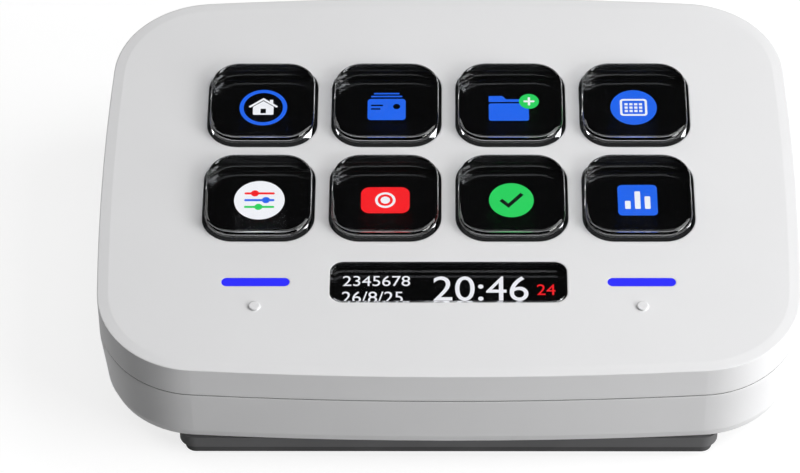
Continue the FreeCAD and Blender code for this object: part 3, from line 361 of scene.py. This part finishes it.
# The black light seals that line them.
LINER_THICKNESS = 0.05
WINDOW_LINER_THICKNESS = 0.03
LINER_GAP = 0.01
LINER_DROP = 0.05


def well_liners():
    near, far = LINER_GAP, LINER_GAP + LINER_THICKNESS
    wall = (inset_outline(KEY_OPENING, near), inset_outline(KEY_OPENING, far), -LIP, -LINER_DROP)
    roof_low = -LIP - LIP_GAP + LINER_GAP
    roof = (square_outline(KEY_ROOM, near), inset_outline(KEY_OPENING, near), roof_low, -LIP)
    room = (square_outline(KEY_ROOM, near), square_outline(KEY_ROOM, far), -FACE_THICKNESS, roof_low)
    for key in KEY_NAMES:
        liner(f"{key}_well_liner", KEY_PLACES[key], (wall, roof, room))
    outer = inset_outline(WINDOW_OPENING, near)
    inner = inset_outline(WINDOW_OPENING, near + WINDOW_LINER_THICKNESS)
    liner("window_liner", WINDOW_PLACE, ((outer, inner, -WINDOW_LIP, -LINER_DROP),))


# Painted shadow in the seam

SEAM_TOP = -5.3
SEAM_GAP = 0.15
SEAM_SETBACK = 0.03
SEAM_REACH = 1.4
# How close to the seam's level the cover's lowest points lie.
LEVEL_TOLERANCE = 0.02
# To how many digits points count as the same.
POINT_DIGITS = 4


def outer_loop(points):
    """The convex outline of scattered points, anticlockwise."""
    points = sorted(set((round(x, POINT_DIGITS), round(y, POINT_DIGITS)) for x, y in points))
    loop = []
    for run in (points, points[::-1]):
        chain = []
        for x, y in run:
            while len(chain) > 1:
                (ax, ay), (bx, by) = chain[-2:]
                if (bx - ax) * (y - ay) - (by - ay) * (x - ax) > 0:
                    break
                chain.pop()
            chain.append((x, y))
        loop += chain[:-1]
    return loop


def drawn_in(loop, inset):
    """The loop moved inwards, each point square to the line between its neighbours."""
    points = []
    count = len(loop)
    for index in range(count):
        before, after = Vector(loop[index - 1]), Vector(loop[(index + 1) % count])
        along = (after - before).normalized()
        points.append((loop[index][0] - along.y * inset, loop[index][1] + along.x * inset))
    return points


def paint_seam_shadow():
    """A dark strip in the gap between the two housing parts, just inside the cover's lower edge: painted shadow in
    the seam.
    """
    level = FACE_LEVEL + SEAM_TOP * MM
    lowest = []
    for vertex in frame["nodes"]["top_cover"].data.vertices:
        if abs(vertex.co.dot(OUT) - level) < LEVEL_TOLERANCE * MM:
            lowest.append((vertex.co.dot(ACROSS) / MM, vertex.co.dot(UPSLOPE) / MM))
    middle_up = (min(y for _, y in lowest) + max(y for _, y in lowest)) / 2
    edge = outer_loop([(x, y - middle_up) for x, y in lowest])
    outer, inner = drawn_in(edge, SEAM_SETBACK), drawn_in(edge, SEAM_REACH)
    ring = (outer, inner, SEAM_TOP - SEAM_GAP + LINER_GAP, SEAM_TOP - LINER_GAP)
    liner("seam_painted_shadow", (0, middle_up * MM), (ring,))


# Key caps

# The keys' own sizes, from the openings that they stand in.
KEY_GAP = 0.45
KEY_TOP = 1.6
FLANGE_MARGIN = 0.5
FLANGE_THICKNESS = 0.55
KEY_FLANGE = [size + 2 * FLANGE_MARGIN for size in KEY_OPENING[:2]]
FLANGE_TOP = -LIP - LIP_GAP
KEY_BOTTOM = FLANGE_TOP - FLANGE_THICKNESS
# The round along the top edge, and the angle in degrees from which an edge is drawn sharp.
KEY_ROUND = 0.75
ROUND_STEPS = 6
SHARP_ANGLE = 32


def cap_rows():
    """A key's outlines and levels, from its flange's flat bottom to the top of its rounded edge."""
    side = inset_outline(KEY_OPENING, KEY_GAP)
    flange = square_outline(KEY_FLANGE, 0)
    rows = [(flange, KEY_BOTTOM), (flange, FLANGE_TOP), (side, FLANGE_TOP)]
    for step in range(ROUND_STEPS + 1):
        a, b = turned(90 * step / ROUND_STEPS, KEY_ROUND)
        rows.append((inset_outline(KEY_OPENING, KEY_GAP + KEY_ROUND - a), KEY_TOP - KEY_ROUND + b))
    return rows


def key_caps():
    """Each key again with its softly rounded top edge, closed above and below."""
    rows = cap_rows()
    count = len(rows[0][0])
    for key in KEY_NAMES:
        points, faces = [], []
        add_rows(points, faces, rows, closed=False)
        faces.append(tuple(range(count))[::-1])
        faces.append(tuple(range(len(points) - count, len(points))))
        piece = face_mesh(f"{key}_cap", points, faces, "clear_key", KEY_PLACES[key], key)
        for face in piece.data.polygons:
            face.use_smooth = True
        piece.data.set_sharp_from_angle(angle=math.radians(SHARP_ANGLE))
        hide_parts(key)


# Pictures on the panel

PICTURE_STRENGTH = 1.05
INK = {
    "white": lit("picture_white", (250, 250, 252), PICTURE_STRENGTH),
    "blue": lit("picture_blue", (32, 104, 240), PICTURE_STRENGTH),
    "red": lit("picture_red", (255, 30, 36), PICTURE_STRENGTH),
    "green": lit("picture_green", (42, 214, 96), PICTURE_STRENGTH),
    "black": lit("picture_black", (8, 8, 9), 1.0),
}
# The pictures' layers over the glass, and the step between them.
ON_GLASS = 1
ON_SIGN = 2
ON_MARK = 3
LAYER = 0.01 * MM
# How far up the slope the pictures stand from the keys' middles.
PICTURE_RISE = 0.8


def panel_piece(name, curve, ink, place, layer):
    """Puts a flat curve on the panel's glass at a face place in metres."""
    piece = bpy.data.objects.new(name, curve)
    bpy.context.scene.collection.objects.link(piece)
    across, up = place
    piece.matrix_world = FACE_TURN @ Matrix.Translation((across, up, PANEL_LEVEL + layer * LAYER))
    curve.materials.append(INK[ink])
    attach(piece, BASE)
    return piece


def picture(name, ink, outlines, place, layer=ON_GLASS):
    """A filled flat shape; an outline inside another is a hole. Outlines are in millimetres."""
    curve = bpy.data.curves.new(name, "CURVE")
    curve.dimensions = "2D"
    curve.fill_mode = "BOTH"
    for outline in outlines:
        spline = curve.splines.new("POLY")
        spline.points.add(len(outline) - 1)
        for point, (x, y) in zip(spline.points, outline):
            point.co = (x * MM, y * MM, 0, 1)
        spline.use_cyclic_u = True
    return panel_piece(name, curve, ink, place, layer)


def key_place(key):
    across, up = KEY_PLACES[key]
    return across, up + PICTURE_RISE * MM


def home_picture(place):
    picture("home_ring", "blue", [disc(3.7), disc(3.05)], place)
    roof = band([(-2.15, 0.1), (0, 1.75), (2.15, 0.1)], 0.36)
    walls = [(-1.6, 0.15), (-1.6, -1.35), (-1.45, -1.5), (1.45, -1.5), (1.6, -1.35), (1.6, 0.15), (0, 1.35)]
    chimney = [(0.98, 0.98), (0.98, 1.6), (1.5, 1.6), (1.5, 0.62)]
    door = rounded(0.84, 0.95, 0.06, 0, -0.72)
    picture("home_house", "white", [walls, door], place)
    picture("home_roof", "white", [roof], place, ON_SIGN)
    picture("home_chimney", "white", [chimney], place)


def cards_picture(place):
    line, end = 0.3, 0.14
    stack = [rounded(4.0, line, end, 0, 2.9), rounded(4.9, line, end, 0, 2.3)]
    picture("cards_stack", "blue", stack, place)
    face = rounded(5.9, 4.4, 0.55, 0, -0.4)
    lens = disc(0.55, 1.55, 0.2, SMALL_DISC_STEPS)
    lines = [rounded(1.9, line, end, -1.5, 0.45), rounded(1.5, line, end, -1.7, -0.3)]
    picture("cards_front", "blue", [face, lens, *lines], place)


def folder_picture(place):
    back = [(-3.3, 2.4), (-1.2, 2.4), (-0.6, 1.7), (2.9, 1.7), (2.9, 1.15), (-3.3, 1.15)]
    front = rounded(6.2, 3.6, 0.35, -0.2, -0.95)
    picture("folder_body", "blue", [back, front], place)
    spot = (2.95, 1.25)
    picture("folder_badge", "green", [disc(1.55, *spot)], place, ON_SIGN)
    length, line, end = 1.7, 0.36, 0.1
    plus = [rounded(length, line, end, *spot), rounded(line, length, end, *spot)]
    for index, bar in enumerate(plus):
        picture(f"folder_plus_{index}", "white", [bar], place, ON_MARK)


def calendar_picture(place):
    picture("calendar_disc", "blue", [disc(3.6)], place)
    sheet = rounded(4.2, 3.5, 0.5)
    inside = rounded(3.5, 2.8, 0.25)
    picture("calendar_edge", "white", [sheet, inside], place, ON_SIGN)
    columns = (-1.15, -0.4, 0.35, 1.1)
    rows = (0.65, -0.05, -0.75)
    days = [rounded(0.5, 0.45, 0.05, x, y) for y in rows for x in columns]
    picture("calendar_days", "white", days, place, ON_SIGN)


def sliders_picture(place):
    picture("sliders_disc", "white", [disc(3.85)], place)
    # Ink, height and place of the knob of each slider.
    sliders = (("red", 1.35, -0.7), ("blue", 0.0, 1.0), ("green", -1.35, -0.1))
    for ink, y, knob in sliders:
        picture(f"sliders_{ink}", ink, [rounded(4.6, 0.42, 0.2, 0, y)], place, ON_SIGN)
        picture(f"sliders_{ink}_knob", ink, [disc(0.62, knob, y, SMALL_DISC_STEPS)], place, ON_MARK)


def record_picture(place):
    picture("record_sign", "red", [rounded(7.4, 5.2, 1.3)], place)
    picture("record_mark", "white", [disc(1.55), disc(1.15), disc(0.72)], place, ON_SIGN)


def tick_picture(place):
    picture("tick_disc", "green", [disc(3.4)], place)
    tick = band([(-1.6, 0.05), (-0.45, -1.1), (1.65, 1.25)], 0.62)
    picture("tick_mark", "black", [tick], place, ON_SIGN)


def chart_picture(place):
    picture("chart_sign", "blue", [rounded(6.0, 6.1, 0.7)], place)
    width, end, foot = 0.85, 0.15, -1.75
    # Place and height of each bar.
    sizes = ((-1.5, 1.6), (0, 3.5), (1.5, 2.5))
    bars = [rounded(width, height, end, x, foot + height / 2) for x, height in sizes]
    picture("chart_bars", "white", bars, place, ON_SIGN)


PICTURES = (
    home_picture,
    cards_picture,
    folder_picture,
    calendar_picture,
    sliders_picture,
    record_picture,
    tick_picture,
    chart_picture,
)


# Figures in the window

# Name, words, ink, width, height, and place across the face and up from the window's middle.
FIGURES = (
    ("window_days", "2345678", "white", 10.2, 2.0, -10.9, 1.6),
    ("window_date", "26/8/25", "white", 9.2, 2.2, -11.5, -1.6),
    ("window_time", "20:46", "white", 14.4, 4.8, 4.9, 0.1),
    ("window_mode", "24", "red", 2.8, 2.1, 14.8, -0.1),
)
# Which corners of an object's bound_box are its lowest and its highest.
LOW_CORNER = 0
HIGH_CORNER = 6


def figures(name, words, ink, width, height, across, up):
    """Plain figures on the panel, stretched to a width and height in millimetres about a place."""
    curve = bpy.data.curves.new(name, "FONT")
    curve.body = words
    curve.align_x = "CENTER"
    curve.align_y = "CENTER"
    piece = panel_piece(name, curve, ink, (0, 0), ON_GLASS)
    bpy.context.view_layer.update()
    low = Vector(piece.bound_box[LOW_CORNER])
    high = Vector(piece.bound_box[HIGH_CORNER])
    size = high - low
    scale = Matrix.Diagonal((width * MM / size.x, height * MM / size.y, 1, 1))
    shift = Matrix.Translation((-(low.x + high.x) / 2, -(low.y + high.y) / 2, 0))
    place = Matrix.Translation((across * MM, up * MM, PANEL_LEVEL + LAYER))
    piece.matrix_world = FACE_TURN @ place @ scale @ shift


def window_figures():
    window_up = WINDOW_PLACE[1] / MM
    for name, words, ink, width, height, across, rise in FIGURES:
        figures(name, words, ink, width, height, across, window_up + rise)


# Stage

WHITE = (1, 1, 1, 1)
FLOOR_COLOUR = (150, 150, 150)
FLOOR_GLOW = 0.78
FLOOR_REACH = 4
WORLD_LIGHT = 0.02
LAMP_TARGET = (0, 0, 0.02)
# Name, place, size and power of each soft lamp.
LAMPS = (
    ("right_softbox", (0.42, 0.0, 0.38), (0.35, 0.5), 2.45),
    ("top_softbox", (0.05, -0.15, 0.9), (0.9, 0.7), 1.9),
    ("corner_softbox", (0.72, -0.44, 0.25), (0.4, 0.4), 5.6),
    ("left_softbox", (-0.65, 0.38, 0.42), (0.3, 0.6), 1.2),
    ("rear_softbox", (0.1, 0.95, 0.35), (0.8, 0.3), 1.0),
)


def seen_light(tree):
    """1 for rays that see the surface directly, in a reflection or through glass, and 0 for its light."""
    path = tree.nodes.new("ShaderNodeLightPath")
    total = path.outputs["Is Camera Ray"]
    for ray in ("Is Glossy Ray", "Is Transmission Ray"):
        either = add_math(tree, "ShaderNodeMath", "MAXIMUM")
        tree.links.new(total, either.inputs[0])
        tree.links.new(path.outputs[ray], either.inputs[1])
        total = either.outputs[0]
    return total


def make_floor():
    """A white floor that shows the shadow; part of its white is only for what looks at it."""
    mesh = bpy.data.meshes.new("floor")
    low, high = -FLOOR_REACH, FLOOR_REACH
    mesh.from_pydata([(low, low, 0), (high, low, 0), (high, high, 0), (low, high, 0)], [], [(0, 1, 2, 3)])
    floor = bpy.data.objects.new("floor", mesh)
    bpy.context.scene.collection.objects.link(floor)
    material = moulded("floor_paper", FLOOR_COLOUR, (0.8, 0.9), 0.001, 0.00001, shade=0.99)
    tree = material.node_tree
    shader = tree.nodes["Principled BSDF"]
    shader.inputs["Emission Color"].default_value = WHITE
    share = add_math(tree, "ShaderNodeMath", "MULTIPLY")
    share.inputs[1].default_value = FLOOR_GLOW
    tree.links.new(seen_light(tree), share.inputs[0])
    tree.links.new(share.outputs[0], shader.inputs["Emission Strength"])
    mesh.materials.append(material)


def soft_light(name, place, size, power):
    """A rectangular lamp that faces the object."""
    lamp = bpy.data.lights.new(name, "AREA")
    lamp.shape = "RECTANGLE"
    lamp.size, lamp.size_y = size
    lamp.energy = power
    light = bpy.data.objects.new(name, lamp)
    bpy.context.scene.collection.objects.link(light)
    light.location = place
    light.rotation_euler = (Vector(LAMP_TARGET) - Vector(place)).to_track_quat("-Z", "Y").to_euler()


def make_lights():
    for name, place, size, power in LAMPS:
        soft_light(name, place, size, power)
    world = bpy.data.worlds.new("studio")
    world.use_nodes = True
    set_inputs(world.node_tree.nodes["Background"], Color=WHITE, Strength=WORLD_LIGHT)
    bpy.context.scene.world = world


# Camera

# Metres and degrees, and the photograph's frame in pixels.
CAMERA_ELEVATION = 43.31
CAMERA_DISTANCE = 0.5898
CAMERA_TARGET_HEIGHT = 0.022888
FRAME_WIDTH = 800
FRAME_HEIGHT = 473
FOCAL_PIXELS = 3813
TARGET_PIXEL = (448.4, 179.68)
SENSOR_WIDTH = 36


def make_camera():
    """Looks down at the face from in front, turned so that its middle lands on the target pixel."""
    slope = math.radians(CAMERA_ELEVATION)
    back = Vector((0, -math.cos(slope), math.sin(slope)))
    up = Vector((0, math.sin(slope), math.cos(slope)))
    target = Vector((0, 0, CAMERA_TARGET_HEIGHT))
    place = target + back * CAMERA_DISTANCE
    pixel = CAMERA_DISTANCE / FOCAL_PIXELS
    right_shift = (FRAME_WIDTH / 2 - TARGET_PIXEL[0]) * pixel
    up_shift = (TARGET_PIXEL[1] - FRAME_HEIGHT / 2) * pixel
    aim = target + ACROSS * right_shift + up * up_shift
    ahead = (aim - place).normalized()
    right = (ACROSS - ahead * ahead.dot(ACROSS)).normalized()
    turn = Matrix((right, right.cross(ahead), -ahead)).transposed().to_4x4()
    camera = bpy.data.objects.new("camera", bpy.data.cameras.new("camera"))
    bpy.context.scene.collection.objects.link(camera)
    camera.matrix_world = Matrix.Translation(place) @ turn
    camera.data.sensor_width = SENSOR_WIDTH
    camera.data.lens = FOCAL_PIXELS / FRAME_WIDTH * SENSOR_WIDTH
    bpy.context.scene.camera = camera


dress_nodes()
paint_sole_shade()
well_liners()
paint_seam_shadow()
key_caps()
for make_picture, key in zip(PICTURES, KEY_NAMES):
    make_picture(key_place(key))
window_figures()
make_floor()
make_lights()
make_camera()
bpy.context.scene.view_settings.view_transform = "Standard"
